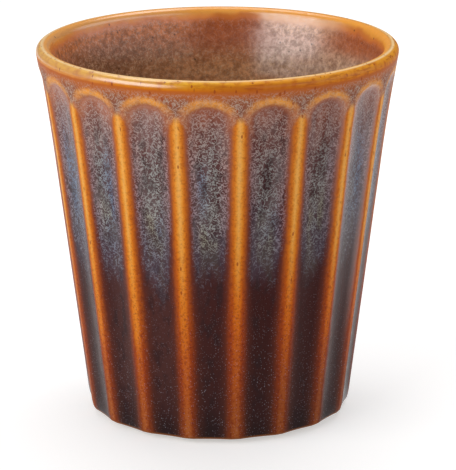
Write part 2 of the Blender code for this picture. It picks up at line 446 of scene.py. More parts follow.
def make_flute_tree():
    """Presses flutes into a turned wall.

    Across a flute the hollow is a parabola from ridge to ridge, and its arched top is the same parabola
    turned upwards. Two attributes keep distances in millimetres for the glaze: flute_edge to that outline,
    positive inside, and ridge_aside to the middle of the nearest ridge.
    """
    tree = bpy.data.node_groups.new("press_flutes", "GeometryNodeTree")
    wire = Wiring(tree)
    numbers = dict.fromkeys(FLUTE_SIZES, "Float")
    sizes = wire.sockets("INPUT", Geometry="Geometry", **numbers, Finish="Material").outputs
    result = wire.sockets("OUTPUT", Geometry="Geometry")

    place = wire.add("GeometryNodeInputPosition").outputs[0]
    x, y, z = wire.add("ShaderNodeSeparateXYZ", {"Vector": place}).outputs
    outwards = wire.vector("NORMALIZE", wire.vector("MULTIPLY", place, (1.0, 1.0, 0.0)))
    radius = wire.off_axis(x, y)

    # Sideways: across is 0 at the middle of a flute and 1 at its edges
    flutes = wire.times(wire.calc("ARCTAN2", y, x), wire.over(sizes["Flute Count"], math.tau))
    from_crest = wire.calc("ABSOLUTE", wire.minus(flutes, wire.calc("ROUND", flutes)))
    half_pitch = wire.over(wire.times(radius, math.pi), sizes["Flute Count"])
    half_flute = wire.minus(half_pitch, wire.over(sizes["Ridge Width"], 2.0))
    from_middle = wire.times(half_pitch, wire.minus(1.0, wire.times(from_crest, 2.0)))
    across = wire.over(from_middle, half_flute)

    # Upwards: 0 below the spring of the arch and 1 at its top
    rise = wire.minus(sizes["Arch Top"], sizes["Arch Spring"])
    above = wire.over(wire.minus(z, sizes["Arch Spring"]), rise)
    up = wire.most(above, 0.0)

    outline = wire.plus(wire.times(across, across), wire.times(up, up))
    hollow = wire.calc("SMOOTH_MAX", wire.minus(1.0, outline), 0.0, sizes["Ridge Softness"])

    # Depth: it lessens down the wall and runs out towards the bottom edge
    height = wire.minus(z, sizes["Foot Height"])
    height_share = wire.over(height, wire.minus(sizes["Arch Top"], sizes["Foot Height"]))
    more = wire.minus(sizes["Top Depth"], sizes["Low Depth"])
    wall_depth = wire.plus(sizes["Low Depth"], wire.times(more, height_share))
    full_depth = wire.ease(height, 0.0, sizes["Runout"], sizes["Edge Depth"], wall_depth)
    outside = wire.add("GeometryNodeInputNamedAttribute", {"Name": "outside"}, data_type="FLOAT").outputs[0]
    depth = wire.times(full_depth, hollow, outside)

    waves = wire.minus(wire.noise(place, UNEVENNESS_SPREAD, detail=1.0), 0.5)
    push = wire.minus(wire.times(waves, sizes["Unevenness"]), depth)
    offset = wire.vector("SCALE", outwards, push)

    edge = wire.times(wire.minus(1.0, wire.calc("SQRT", outline)), half_flute)
    from_ridge = wire.minus(half_pitch, from_middle)
    kept = sizes["Geometry"]
    for name, length in (("flute_edge", edge), ("ridge_aside", from_ridge)):
        feeds = {"Geometry": kept, "Name": name, "Value": wire.times(length, MILLIMETRES)}
        store = wire.add("GeometryNodeStoreNamedAttribute", feeds, data_type="FLOAT", domain="POINT")
        kept = store.outputs[0]
    moved = wire.add("GeometryNodeSetPosition", {"Geometry": kept, "Offset": offset})
    whole = wire.add("GeometryNodeRealizeInstances", {"Geometry": moved.outputs[0]})
    feeds = {"Geometry": whole.outputs[0], "Material": sizes["Finish"]}
    finished = wire.add("GeometryNodeSetMaterial", feeds)
    wire.feed(result.inputs["Geometry"], finished.outputs[0])
    return tree


def press_flutes(piece, tree, finish):
    """Puts the flute tree on a piece, with this cup's sizes."""
    values = FLUTE_SIZES | {"Finish": finish}
    modifier = piece.modifiers.new("flutes", "NODES")
    modifier.node_group = tree
    for item in tree.interface.items_tree:
        if item.in_out == "INPUT" and item.name in values:
            modifier[item.identifier] = values[item.name]


# Turned pieces


def draw_section(name, section):
    """A section as a mesh of edges, closed unless it starts on the axis, with its outside wall marked."""
    edges = [(i, i + 1) for i in range(len(section) - 1)]
    if section[0][0] > 0:
        edges.append((len(section) - 1, 0))
    mesh = bpy.data.meshes.new(name)
    mesh.from_pydata([(r, 0.0, z) for r, z in section], edges, [])
    marks = mesh.attributes.new("outside", "FLOAT", "POINT")
    for i in outside_points(section):
        marks.data[i].value = 1.0
    piece = bpy.data.objects.new(name, mesh)
    bpy.context.scene.collection.objects.link(piece)
    return piece


def turn(piece, columns):
    """Turns the section about the Z axis, before any other modifier."""
    screw = piece.modifiers.new("turn", "SCREW")
    screw.axis = "Z"
    screw.angle = math.tau
    screw.steps = screw.render_steps = columns
    screw.use_merge_vertices = True
    screw.merge_threshold = MERGE_DISTANCE
    screw.use_normal_calculate = True


def signed_volume(mesh):
    """Volume of a closed mesh, which is negative where its faces look inwards."""
    shell = bmesh.new()
    shell.from_mesh(mesh)
    volume = shell.calc_volume(signed=True)
    shell.free()
    return volume


def settle(piece):
    """Turns the piece's modifiers into a plain, smooth mesh whose faces look outwards."""
    evaluated = piece.evaluated_get(bpy.context.evaluated_depsgraph_get())
    piece.data = bpy.data.meshes.new_from_object(evaluated)
    piece.modifiers.clear()
    if signed_volume(piece.data) < 0:
        piece.data.flip_normals()
    piece.data.shade_smooth()
    piece.data.set_sharp_from_angle(angle=SHARP_ANGLE)


def hand_in(piece, node):
    """Puts the piece under the part's root and hides the node of the part that it stands for."""
    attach(piece, "root")
    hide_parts(node)


# Effects that several glazes share, with sizes in millimetres


def make_wander_group():
    """Lets the border of a glaze wander: an offset that goes softly to and fro."""
    wire = Wiring(bpy.data.node_groups.new("glaze_wander", "ShaderNodeTree"))
    given = wire.sockets("INPUT", Place="Vector", Size="Float", Amount="Float").outputs
    result = wire.sockets("OUTPUT", Offset="Float")
    swing = wire.minus(wire.noise(given["Place"], given["Size"], detail=3.0), 0.5)
    wire.feed(result.inputs["Offset"], wire.times(swing, 2.0, given["Amount"]))
    return wire.tree


def make_thread_group():
    """Worm-like crystals in a glaze.

    In three patterns of cells, one over the other, each cell holds a bent disc that shows as a thread.
    """
    wire = Wiring(bpy.data.node_groups.new("crystal_threads", "ShaderNodeTree"))
    given = wire.sockets("INPUT", Place="Vector", Spacing="Float", Width="Float", Crowding="Float").outputs
    result = wire.sockets("OUTPUT", Threads="Float")
    spacing = given["Spacing"]
    width = given["Width"]
    feeds = {"Vector": given["Place"], "Scale": wire.over(THREAD_SWIRLS, spacing), "Detail": 0.0}
    swirl = wire.add("ShaderNodeTexNoise", feeds).outputs["Color"]
    bend = wire.vector("SCALE", wire.vector("SUBTRACT", swirl, MIDDLE), spacing)
    bent = wire.vector("ADD", given["Place"], bend)
    threads = 0.0
    for shift in THREAD_SHIFTS:
        moved = wire.vector("ADD", bent, (shift,) * 3)
        feeds = {"Vector": moved, "Scale": wire.over(1.0, spacing), "Randomness": THREAD_SCATTER}
        cells = wire.add("ShaderNodeTexVoronoi", feeds).outputs
        away = wire.vector("SUBTRACT", moved, cells["Position"])
        facing = wire.vector("NORMALIZE", wire.vector("SUBTRACT", cells["Color"], MIDDLE))
        off_disc = wire.calc("ABSOLUTE", wire.vector("DOT_PRODUCT", away, facing))
        line = wire.ease(off_disc, wire.times(width, 0.3), width, 1.0, 0.0)
        line = wire.times(line, wire.ease(cells["Distance"], *THREAD_REACH, 1.0, 0.0))
        chance = wire.add("ShaderNodeTexWhiteNoise", {"Vector": cells["Position"]}).outputs["Value"]
        kept = wire.ease(wire.minus(given["Crowding"], chance), 0.0, 0.3)
        threads = wire.most(threads, wire.times(line, kept))
    wire.feed(result.inputs["Threads"], threads)
    return wire.tree


def make_speck_group():
    """Scattered round specks of many sizes, where the surface cuts through small balls."""
    wire = Wiring(bpy.data.node_groups.new("glaze_specks", "ShaderNodeTree"))
    given = wire.sockets("INPUT", Place="Vector", Spacing="Float", Radius="Float", Share="Float").outputs
    result = wire.sockets("OUTPUT", Specks="Float")
    feeds = {"Vector": given["Place"], "Scale": wire.over(1.0, given["Spacing"])}
    balls = wire.add("ShaderNodeTexVoronoi", feeds).outputs
    away = wire.times(balls["Distance"], given["Spacing"])
    spot = wire.ease(away, wire.times(given["Radius"], 0.5), given["Radius"], 1.0, 0.0)
    chance = wire.add("ShaderNodeSeparateColor", {"Color": balls["Color"]}).outputs["Red"]
    wire.feed(result.inputs["Specks"], wire.times(spot, wire.calc("LESS_THAN", chance, given["Share"])))
    return wire.tree


WANDER = make_wander_group()
THREADS = make_thread_group()
SPECKS = make_speck_group()


def place_effect(wire, group, **values):
    """Places a shared effect and gives its outputs."""
    node = wire.add("ShaderNodeGroup", node_tree=group)
    wire.feed_all(node, values)
    return node.outputs


def use(wire, group, **values):
    """Places a shared effect and gives its first output."""
    return place_effect(wire, group, **values)[0]


# Finishes, with places and sizes in millimetres


def new_finish(name):
    """A material, with its wiring and its shader."""
    material = bpy.data.materials.new(name)
    material.use_nodes = True
    return material, Wiring(material.node_tree), material.node_tree.nodes["Principled BSDF"]


def place_in_millimetres(wire):
    """The place on the piece in millimetres, with its three parts."""
    metres = wire.add("ShaderNodeTexCoord").outputs["Object"]
    place = wire.vector("MULTIPLY", metres, (MILLIMETRES,) * 3)
    return place, wire.add("ShaderNodeSeparateXYZ", {"Vector": place}).outputs


def raise_surface(wire, shader, height, reach):
    """Bumps the surface by up to a reach in metres where the height goes from 0 to 1."""
    bump = wire.add("ShaderNodeBump", {"Height": height, "Distance": reach})
    wire.feed(shader.inputs["Normal"], bump.outputs[0])


def hollow_ground(wire, x, below, ember):
    """Tones of the inside glaze before its grain, by depth under the rim and from left to right, with
    painted light, sheen, highlight and shade among them.
    """
    # Painted light: the deeper stops are lighter to offset the shade down in the hollow.
    body = wire.ramp(wire.over(below, HOLLOW_TONES_DEPTH), (
        (0.035, colour(236, 158, 58)), (0.06, colour(232, 142, 58)), (0.09, colour(222, 124, 58)),
        (0.15, colour(222, 132, 74)), (0.24, colour(204, 124, 76)), (0.38, colour(190, 126, 80)),
        (0.47, colour(208, 148, 100)), (0.90, colour(204, 152, 104)),
    ))
    # Painted sheen: paler towards the right, a few millimetres down the inner wall.
    painted_sheen_right = wire.times(wire.ease(x, 18.0, 31.0, 0.0, 0.9), wire.ease(below, 5.0, 11.0))
    body = wire.mix(painted_sheen_right, body, colour(216, 182, 156))
    # Painted sheen: a pale band further down the inner wall, right of the middle.
    painted_sheen_depths = wire.plus(wire.ease(below, 2.5, 6.0, 0.0, 0.4), wire.ease(below, 10.5, 12.5, 0.0, 0.45))
    painted_sheen_deep = wire.times(wire.band(x, (5.0, 10.0), (23.0, 30.0)), painted_sheen_depths, wire.ease(below, 17.4, 15.2))
    body = wire.mix(painted_sheen_deep, body, colour(216, 188, 168))
    body = wire.mix(wire.times(ember, 0.55), body, colour(168, 80, 16))
    # Painted highlight: pale cream just under the lip, right of the middle.
    painted_highlight_under_lip = wire.times(wire.band(x, (7.4, 10.0), (26.0, 32.0)), wire.ease(below, 6.5, 3.5, 0.0, 0.55))
    body = wire.mix(wire.times(painted_highlight_under_lip, wire.ease(below, 0.6, 1.4)), body, colour(238, 196, 158))
    russet = wire.times(wire.band(below, (0.8, 1.8), (3.5, 6.0)), wire.ease(x, 26.0, 34.0, 0.0, 0.38))
    body = wire.mix(russet, body, colour(152, 62, 18))
    # Painted shade: darker down the left of the inner wall.
    painted_shade_left = wire.times(wire.ease(x, -10.0, -32.0, 0.0, 0.6), wire.ease(below, 3.5, 10.0))
    return wire.mix(painted_shade_left, body, colour(106, 66, 42))


def make_hollow_group():
    """The glaze inside the cup: amber over the lip, then orange and mauve, then a grainy tan, with painted
    sheen, highlight and shade in its tones.
    """
    wire = Wiring(bpy.data.node_groups.new("hollow_glaze", "ShaderNodeTree"))
    place = wire.sockets("INPUT", Place="Vector").outputs["Place"]
    result = wire.sockets("OUTPUT", Colour="Color", Grain="Float", Gloss="Float", Height="Float")
    x, y, z = wire.add("ShaderNodeSeparateXYZ", {"Vector": place}).outputs
    below = wire.minus(CUP_HEIGHT * MILLIMETRES, z)
    below = wire.plus(below, use(wire, WANDER, Place=place, Size=7.0, Amount=1.4))
    under_lip = wire.ease(below, 2.0, 4.0)

    beside = wire.calc("ABSOLUTE", wire.minus(x, 3.0))
    ember = wire.times(wire.ease(beside, 8.0, 4.0), wire.ease(y, 0.0, 10.0))
    ember = wire.times(ember, wire.band(below, (0.8, 1.8), (3.0, 7.0)))
    body = hollow_ground(wire, x, below, ember)

    threads = use(wire, THREADS, Place=place, Spacing=0.95, Width=0.125, Crowding=0.9)
    grain = wire.times(threads, under_lip)
    pale = wire.mix(wire.ease(below, 5.0, 12.0), colour(214, 164, 140), colour(206, 168, 130))
    body = wire.mix(wire.times(grain, 0.7), body, pale)
    shade = wire.ease(wire.noise(place, 1.3, detail=4.0, roughness=0.7), 0.32, 0.68, 0.0, 0.65)
    body = wire.mix(wire.times(shade, under_lip), body, colour(100, 58, 34))

    off_centre = wire.calc("ABSOLUTE", wire.minus(x, 1.0))
    off_centre = wire.plus(off_centre, use(wire, WANDER, Place=place, Size=5.0, Amount=4.0))
    blush_right = wire.times(wire.ease(x, 21.0, 31.0), wire.ease(below, 10.0, 5.0))
    blush = wire.most(wire.ease(off_centre, 15.0, 5.0), blush_right)
    blush = wire.times(blush, under_lip, wire.ease(below, 14.0, 7.0, 0.0, 0.6))
    body = wire.mix(blush, body, colour(146, 66, 30))
    holes = use(wire, SPECKS, Place=place, Spacing=2.6, Radius=0.35, Share=0.3)
    body = wire.mix(wire.times(holes, 0.7), body, colour(66, 38, 24))

    sheen = wire.most(wire.ease(x, 2.0, 15.0, 0.4, 0.95), wire.ease(below, 5.5, 3.0, 0.0, 0.8))
    gloss = wire.times(wire.ease(shade, 0.0, 0.65, 1.0, 0.6), sheen, wire.ease(ember, 0.0, 1.0, 1.0, 0.5))
    gloss = wire.times(gloss, wire.ease(x, 31.0, 23.0, 0.5, 1.0))
    waves = wire.times(wire.noise(place, 2.2), 0.15)
    height = wire.plus(wire.noise(place, 6.0), waves, wire.times(grain, 0.03))
    wire.feed_all(result, {"Colour": body, "Grain": grain, "Gloss": gloss, "Height": height})
    return wire.tree


HOLLOW = make_hollow_group()


class OuterGlaze:
    """What the parts of the outer glaze read at a point.

    edge: distance to the flute's outline, positive inside it, with a border that wanders
    aside: distance to the middle of the nearest ridge
    level: height, with a border that wanders, and share: the same as a part of the cup's height
    below: depth under the rim
    tongue: level that is higher in the middle of a flute, so that the crystals hang down there
    tall: place for patterns that are drawn out in height
    """

    def __init__(self, wire):
        self.place, (self.x, self.y, self.z) = place_in_millimetres(wire)
        self.tall = wire.vector("MULTIPLY", self.place, (1.0, 1.0, 0.3))
        outline = wire.add("ShaderNodeAttribute", attribute_name="flute_edge").outputs["Fac"]
        broad = use(wire, WANDER, Place=self.tall, Size=5.0, Amount=0.35)
        fine = use(wire, WANDER, Place=self.place, Size=1.3, Amount=0.3)
        self.edge = wire.plus(outline, broad, fine)
        self.aside = wire.add("ShaderNodeAttribute", attribute_name="ridge_aside").outputs["Fac"]
        self.level = wire.plus(self.z, use(wire, WANDER, Place=self.tall, Size=5.0, Amount=8.0))
        self.below = wire.minus(CUP_HEIGHT * MILLIMETRES, self.z)
        self.share = wire.over(self.level, CUP_HEIGHT * MILLIMETRES)

        inwards = wire.minus(wire.calc("MINIMUM", self.edge, 4.0), 3.0)
        longer = wire.ease(self.x, 4.0, -22.0, 1.0, 5.5)
        self.tongue = wire.plus(self.level, longer, wire.times(inwards, 1.5))
        crowding = wire.ease(self.tongue, 34.0, 55.0, 0.0, 1.1)
        width = wire.ease(self.tongue, 34.0, 56.0, 0.08, 0.11)
        threads = use(wire, THREADS, Place=self.place, Spacing=0.86, Width=width, Crowding=crowding)
        self.crystals = wire.times(threads, wire.ease(self.tongue, 36.0, 58.0, 0.25, 1.0))

        left = wire.ease(self.x, -24.0, -35.0, -0.06, 0.3)
        sides = wire.plus(left, wire.ease(self.x, 24.0, 35.0, 0.0, 0.14))
        self.blue = wire.ease(wire.plus(wire.noise(self.tall, 9.0), sides), 0.42, 0.66)
        self.middle = wire.ease(self.edge, 1.6, 4.2)
        blots = wire.noise(wire.vector("MULTIPLY", self.place, (1.0, 1.0, 0.5)), 2.0)
        gaps = wire.times(wire.ease(blots, 0.48, 0.66, 0.0, 0.65), wire.ease(self.edge, 0.8, 2.4))
        gaps = wire.times(gaps, wire.ease(self.level, 82.0, 72.0))
        self.gaps = wire.times(gaps, wire.ease(self.x, 12.0, 24.0, 1.0, 0.55))
        patches = wire.ease(wire.noise(self.tall, 4.0), 0.42, 0.58)
        olive = wire.times(wire.ease(self.edge, 2.4, 4.0), patches)
        olive = wire.times(olive, wire.band(self.level, (38.0, 45.0), (52.0, 60.0)))
        self.olive = wire.times(olive, wire.ease(self.x, -32.0, -27.0))


def pool_ground(wire, coat):
    """Tones of the flutes' floors under the crystals: nearly black at the bottom, mauve near the top, with
    partly painted light on the left and partly painted shade towards the right.
    """
    pool = wire.ramp(coat.share, (
        (0.03, colour(40, 25, 25)), (0.10, colour(54, 27, 26)), (0.22, colour(56, 24, 21)),
        (0.38, colour(58, 21, 18)), (0.48, colour(60, 26, 26)), (0.60, colour(64, 34, 36)),
        (0.78, colour(94, 54, 52)), (0.87, colour(114, 64, 54)), (0.93, colour(158, 84, 54)),
    ))
    # Painted light: lighter pools in the left-hand flutes, as if lit from the left.
    painted_light_left_pools = wire.times(wire.ease(coat.x, 8.0, -14.0, 0.0, 0.4), wire.ease(coat.x, -30.0, -18.0))
    painted_light_left_pools = wire.times(painted_light_left_pools, wire.band(coat.level, (3.0, 18.0), (40.0, 60.0)))
    pool = wire.mix(painted_light_left_pools, pool, colour(90, 56, 52))
    # Partly a paler pinker glaze, partly painted light: lighter under the arches on the left.
    pink_tone_and_painted_light = wire.times(wire.ease(coat.x, -2.0, -16.0, 0.0, 0.6), wire.ease(coat.z, 76.0, 81.0))
    pink_tone_and_painted_light = wire.times(pink_tone_and_painted_light, wire.ease(coat.edge, 3.4, 1.2, 0.2, 1.0))
    pool = wire.mix(pink_tone_and_painted_light, pool, colour(204, 138, 104))
    # Partly a darker glaze, partly painted shade: darker pools high up towards the right.
    dark_tone_and_painted_shade = wire.times(wire.ease(coat.x, -8.0, 20.0, 0.0, 0.42), wire.ease(coat.z, 68.0, 77.0))
    pool = wire.mix(dark_tone_and_painted_shade, pool, colour(84, 46, 44))
    cool = wire.times(coat.middle, wire.band(coat.level, (40.0, 54.0), (62.0, 80.0)), 0.5)
    pool = wire.mix(cool, pool, wire.mix(coat.blue, colour(62, 42, 44), colour(50, 54, 78)))
    pool = wire.mix(coat.gaps, pool, colour(44, 26, 28))
    mist = wire.band(coat.tongue, (40.0, 49.0), (48.0, 62.0))
    mist = wire.times(mist, wire.ease(coat.edge, 0.8, 2.6, 0.0, 0.34))
    pool = wire.mix(mist, pool, colour(88, 82, 98))
    return wire.mix(wire.times(coat.olive, 0.3), pool, colour(78, 68, 44))


def crystal_tones(wire, coat):
    """Tones of the crystals: grey, blue or olive in the middle of a flute, rosy at its sides and top."""
    centre = wire.mix(coat.blue, colour(168, 170, 166), colour(120, 144, 172))
    centre = wire.mix(wire.times(coat.olive, 0.6), centre, colour(182, 172, 122))
    side = wire.mix(wire.ease(coat.level, 54.0, 76.0), colour(168, 142, 150), colour(196, 164, 160))
    whole = wire.mix(coat.middle, side, centre)
    lower = wire.mix(wire.ease(coat.level, 42.0, 58.0), colour(136, 138, 150), whole)
    return wire.mix(wire.ease(coat.level, 66.0, 82.0), lower, colour(184, 158, 148))


def flute_pools(wire, coat):
    """Floors of the flutes, with a pale haze that is partly painted sheen on the left flutes, and crystals
    from under the arches to half way down.
    """
    pool = pool_ground(wire, coat)
    under_arch = wire.plus(coat.below, use(wire, WANDER, Place=coat.place, Size=3.0, Amount=1.5))
    zone = wire.times(wire.ease(coat.edge, 0.0, 1.3), wire.ease(under_arch, 5.2, 8.5, 0.4, 1.0))
    haze_and_painted_sheen = wire.ease(wire.noise(coat.tall, 2.6), 0.38, 0.68, 0.0, 0.13)
    # The noise gives a random pale haze; the steps by x add painted sheen on the left flutes and take some
    # off the far left.
    for near, far, amount in ((6.0, -20.0, 0.05), (-30.0, -37.0, -0.1)):
        haze_and_painted_sheen = wire.plus(haze_and_painted_sheen, wire.ease(coat.x, near, far, 0.0, amount))
    haze_and_painted_sheen = wire.times(haze_and_painted_sheen, wire.ease(coat.level, 42.0, 60.0), zone)
    pool = wire.mix(haze_and_painted_sheen, pool, colour(184, 172, 170))
    strength = wire.times(zone, wire.ease(coat.x, -10.0, 25.0, 0.76, 0.58))
    strength = wire.times(strength, wire.ease(coat.gaps, 0.0, 0.65, 1.0, 0.5))
    return wire.mix(wire.times(coat.crystals, strength), pool, crystal_tones(wire, coat))


def crest_tones(wire, coat):
    """Tones along the crest of a ridge: amber, duller and more stained lower down, with painted light on
    the left, partly painted shade low on the right and a pale line that is partly a painted highlight.
    """
    crest = wire.ramp(coat.share, (
        (0.03, colour(172, 94, 44)), (0.12, colour(176, 90, 36)), (0.22, colour(190, 92, 24)),
        (0.30, colour(204, 102, 16)), (0.43, colour(214, 116, 16)), (0.55, colour(226, 140, 36)),
        (0.75, colour(236, 156, 58)),
    ))
    # Painted light: brighter crests on the left, as if lit from the left.
    painted_light_left_crests = wire.times(wire.ease(coat.x, 4.0, -18.0, 0.0, 0.4), wire.ease(coat.level, 16.0, 30.0))
    painted_light_left_crests = wire.times(painted_light_left_crests, wire.ease(coat.x, -34.0, -22.0, 0.4, 1.0))
    painted_light_left_crests = wire.times(painted_light_left_crests, wire.ease(coat.level, 62.0, 46.0))
    crest = wire.mix(painted_light_left_crests, crest, colour(242, 158, 52))
    mottle = wire.noise(coat.place, 0.6, detail=3.0, roughness=0.65)
    stains = wire.times(wire.ease(mottle, 0.45, 0.68), wire.ease(coat.level, 6.0, 60.0, 0.85, 0.4))
    crest = wire.mix(stains, crest, colour(140, 52, 16))
    # Partly a darker glaze, partly painted shade: crests darker low down towards the right.
    darker_glaze_and_painted_shade = wire.times(wire.ease(coat.x, -8.0, 30.0, 0.0, 0.42), wire.ease(coat.level, 36.0, 6.0))
    crest = wire.mix(darker_glaze_and_painted_shade, crest, colour(96, 40, 16))
    # Partly thin pale glaze on the crest, partly a painted highlight.
    pale_crest_and_painted_highlight = wire.times(wire.ease(coat.edge, -0.2, -1.1), wire.ease(coat.level, 30.0, 60.0, 0.0, 0.38))
    return wire.mix(pale_crest_and_painted_highlight, crest, colour(250, 196, 112))


def ridge_colours(wire, coat, pool):
    """Ridges: amber on the crest, orange and red-brown down to the pools, with pale specks low down."""
    flank_width = wire.ease(coat.level, *RIDGE_WIDENING, 3.6, 4.0)
    thickening = wire.ramp(wire.over(wire.plus(coat.edge, 1.1), flank_width), (
        (0.0, WHITE), (0.14, (0.97, 0.9, 0.72, 1.0)), (0.30, (0.72, 0.48, 0.24, 1.0)),
    ))
    ridge = wire.mix(1.0, crest_tones(wire, coat), thickening, blend="MULTIPLY")
    fringe = wire.ramp(coat.share, (
        (0.03, colour(70, 38, 30)), (0.20, colour(82, 38, 28)), (0.38, colour(96, 40, 24)),
        (0.55, colour(116, 50, 28)), (0.75, colour(146, 76, 48)), (0.90, colour(158, 88, 60)),
    ))
    near = wire.ease(coat.level, *RIDGE_WIDENING, -0.8, 0.0)
    far = wire.ease(coat.level, *RIDGE_WIDENING, 3.6, 2.0)
    ridge = wire.mix(wire.ease(coat.edge, near, wire.times(far, 0.55)), ridge, fringe)
    wall = wire.mix(wire.ease(coat.edge, far, 0.6), pool, ridge)

    for spacing, radius, share, strength in ((0.4, 0.1, 0.7, 0.42), (0.8, 0.15, 0.4, 0.5)):
        specks = use(wire, SPECKS, Place=coat.place, Spacing=spacing, Radius=radius, Share=share)
        specks = wire.times(specks, wire.ease(coat.level, 50.0, 10.0, 0.05, strength))
        wall = wire.mix(specks, wall, colour(164, 156, 166))
    return wall


def arch_colours(wire, coat, wall):
    """Above the flutes: a brick-brown band, crystals between the arches and an amber line along each."""
    band = wire.mix(wire.ease(coat.below, 3.5, 8.0), colour(180, 96, 44), colour(136, 80, 64))
    between = wire.times(wire.ease(coat.aside, 4.4, 2.0), wire.ease(coat.below, 2.8, 4.6))
    band = wire.mix(wire.times(between, 0.4), band, colour(104, 74, 66))
    worms = wire.most(between, wire.ease(coat.below, 2.3, 3.2, 0.0, 0.6))
    band = wire.mix(wire.times(coat.crystals, worms, 0.75), band, colour(186, 164, 148))
    line = wire.mix(wire.ease(coat.below, 4.5, 8.5), colour(234, 156, 66), colour(180, 110, 76))
    line = wire.mix(wire.times(coat.crystals, 0.4), line, colour(214, 176, 140))
    blotches = wire.ease(wire.noise(coat.place, 1.6, detail=3.0, roughness=0.6), 0.3, 0.6, 0.5, 1.0)
    stray = use(wire, WANDER, Place=coat.place, Size=1.0, Amount=0.5)
    off_line = wire.calc("ABSOLUTE", wire.plus(coat.edge, stray, -0.1))
    crown = wire.mix(wire.times(wire.ease(off_line, 0.2, 2.1, 1.0, 0.0), blotches), band, line)
    crown = wire.mix(wire.ease(coat.edge, 0.6, 2.0), crown, colour(168, 98, 68))
    rounding = wire.times(coat.aside, coat.aside, 0.45)
    rounding = wire.plus(rounding, use(wire, WANDER, Place=coat.place, Size=1.5, Amount=0.6))
    above_stem = wire.ease(wire.plus(coat.z, rounding), 79.0, 81.2)
    return wire.mix(wire.times(above_stem, wire.ease(coat.edge, 2.7, 0.5)), wall, crown)


def lip_colours(wire, coat, wall):
    """The lip's amber with a burnt lower border, brown runs and a pale crown that is partly a painted
    highlight.

    Pinholes where the glaze is thin and the brown line at the wall's bottom edge come with it.
    """
    drop = wire.plus(coat.below, use(wire, WANDER, Place=coat.place, Size=3.0, Amount=0.25))
    wall = wire.mix(wire.ease(drop, 3.4, 2.2, 0.0, 0.72), wall, colour(188, 96, 24))
    lip = wire.ramp(wire.over(drop, LIP_TONES_DEPTH), (
        (0.0, colour(234, 178, 54)), (0.40, colour(222, 150, 14)), (0.80, colour(206, 112, 6)),
    ))
    lip = wire.mix(wire.ease(coat.x, -6.0, 14.0, 0.0, 0.6), lip, colour(228, 140, 32))
    browner = wire.times(wire.ease(coat.x, -10.0, 8.0, 0.0, 0.55), wire.ease(coat.x, 30.0, 14.0, 0.35, 1.0))
    browner = wire.times(browner, wire.ease(coat.y, 5.0, -15.0), wire.ease(coat.below, 0.35, 1.1))
    lip = wire.mix(browner, lip, colour(164, 72, 4))
    clouds = wire.ease(wire.noise(coat.place, 2.2, detail=3.0), 0.45, 0.75, 0.0, 0.75)
    lip = wire.mix(clouds, lip, colour(184, 88, 10))
    runs = wire.noise(wire.vector("MULTIPLY", coat.place, (0.25, 0.25, 1.8)), 0.9)
    runs = wire.times(wire.ease(runs, 0.52, 0.62), wire.ease(coat.x, -10.0, 10.0, 0.2, 0.42))
    lip = wire.mix(runs, lip, colour(158, 70, 14))
    # Partly thin pale glaze on the lip's crown, partly a painted highlight.
    lip = wire.mix(wire.ease(coat.below, 0.2, 0.03, 0.0, 0.8), lip, colour(252, 220, 164))
    # Painted highlight: a paler, creamier lip on the left, under its reflected streak.
    lip = wire.mix(wire.ease(coat.x, -18.0, -32.0, 0.0, 0.28), lip, colour(236, 184, 118))
    wall = wire.mix(wire.ease(drop, 2.4, 1.9), wall, lip)
    drawn_out = wire.vector("MULTIPLY", coat.place, (1.0, 1.0, 0.45))
    holes = use(wire, SPECKS, Place=drawn_out, Spacing=1.2, Radius=0.3, Share=0.65)
    thin = wire.most(wire.ease(coat.edge, -0.3, -0.7), wire.ease(coat.below, 3.0, 2.0, 0.0, 0.6))
    wall = wire.mix(wire.times(holes, thin, 0.8), wall, colour(150, 62, 16))
    return wire.mix(wire.ease(coat.z, 2.0, 1.4), wall, colour(150, 88, 40))


def outer_gloss(wire, coat):
    """Gloss of the outer glaze: a little all over, more on the side flutes' flanks and on the lip."""
    glossy = wire.ease(coat.edge, 1.2, -0.4, 0.015, 0.045)
    flank = wire.times(wire.ease(coat.edge, 0.0, 0.8), wire.ease(coat.edge, 3.2, 1.0, 0.35, 1.0))
    wet = wire.plus(wire.ease(coat.x, 25.0, 33.0, 0.0, 0.55), wire.ease(coat.x, -28.0, -35.0, 0.0, 0.1))
    wet = wire.times(flank, wet, wire.ease(coat.y, -11.5, -8.5, 1.0, 0.35))
    wet = wire.times(wet, wire.ease(coat.z, 14.0, 46.0, 0.1, 1.0))
    lip = wire.times(wire.ease(coat.below, 1.75, 1.35), wire.ease(coat.below, 0.1, 0.45, 0.6, 1.0))
    lip = wire.times(lip, wire.ease(coat.x, -14.0, -3.0, 1.0, 0.12))
    return wire.most(glossy, wet, lip)


